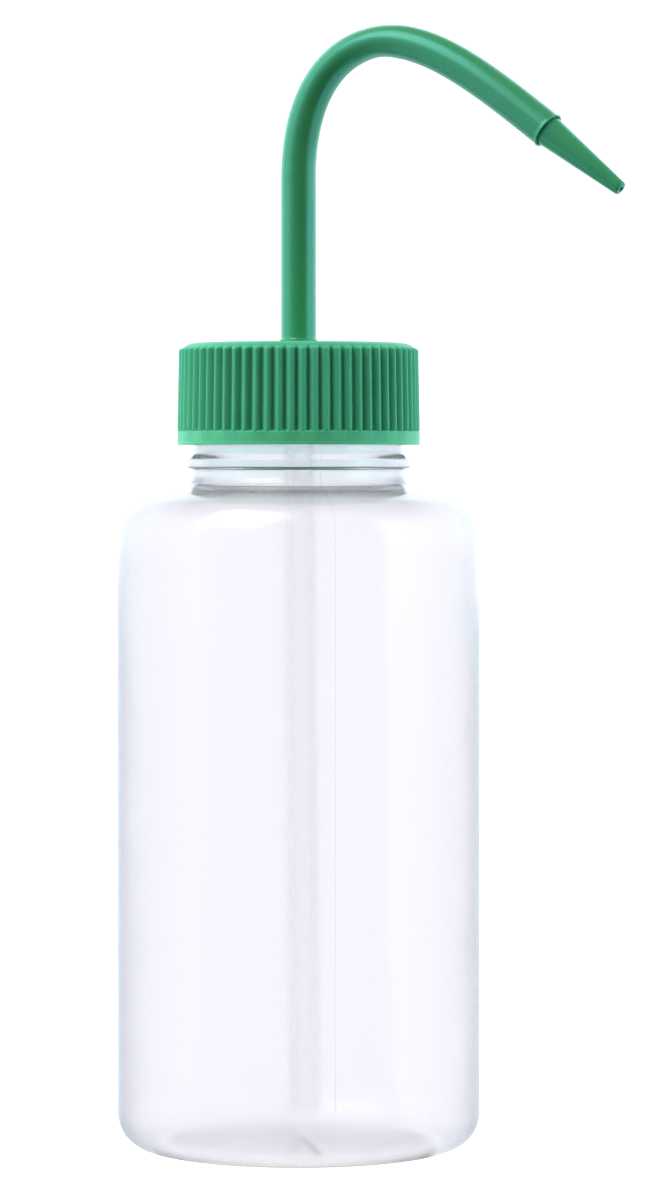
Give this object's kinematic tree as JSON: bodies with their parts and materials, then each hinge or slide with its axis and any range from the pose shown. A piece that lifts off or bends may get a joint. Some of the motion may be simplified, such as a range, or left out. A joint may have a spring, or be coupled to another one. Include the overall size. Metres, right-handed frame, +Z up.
{
  "type": "wash bottle",
  "caption": "Squeeze wash bottle with a translucent body, ribbed green screw cap, bent swivelling spout, tapered jet tip and a dip tube.",
  "frame": {"origin": "on the bottle's axis, in the plane of the flat ring that it stands on", "axes": "+Z up along the bottle's axis; the spout leans towards +X in the XZ plane"},
  "size_m": [0.112, 0.076, 0.2342],
  "materials": {
    "natural_polythene": "milky translucent low-density polythene with a soft waxy sheen",
    "natural_tubing": "translucent natural polythene tubing",
    "seal_polythene": "soft white polythene",
    "green_cap_plastic": "satin green moulded plastic with a faint grain",
    "green_tube_plastic": "satin green moulded plastic, finely wrinkled where it was bent"
  },
  "bodies": {
    "bottle": {"bottle": "natural_polythene"},
    "seal": {"sealing_ring": "seal_polythene"},
    "cap": {"screw_cap": "green_cap_plastic"},
    "spout": {"delivery_tube": "green_tube_plastic", "jet_tip": "green_tube_plastic", "dip_tube": "natural_tubing"}
  },
  "joints": [
    {"name": "cap_lift", "type": "slide", "parent": "bottle", "child": "seal", "axis": [0, 0, 1], "range_m": [0, 0.006]},
    {"name": "cap_turn", "type": "hinge", "parent": "seal", "child": "cap", "pos_m": [0, 0, 0.158], "axis": [0, 0, 1], "range_deg": [0, 540]},
    {"name": "spout_swivel", "type": "hinge", "parent": "cap", "child": "spout", "pos_m": [0, 0, 0.165], "axis": [0, 0, 1], "continuous": true}
  ],
  "couplings": [
    {"joint": "cap_lift", "follows": "cap_turn", "m_per_rad": 0.0006366}
  ]
}
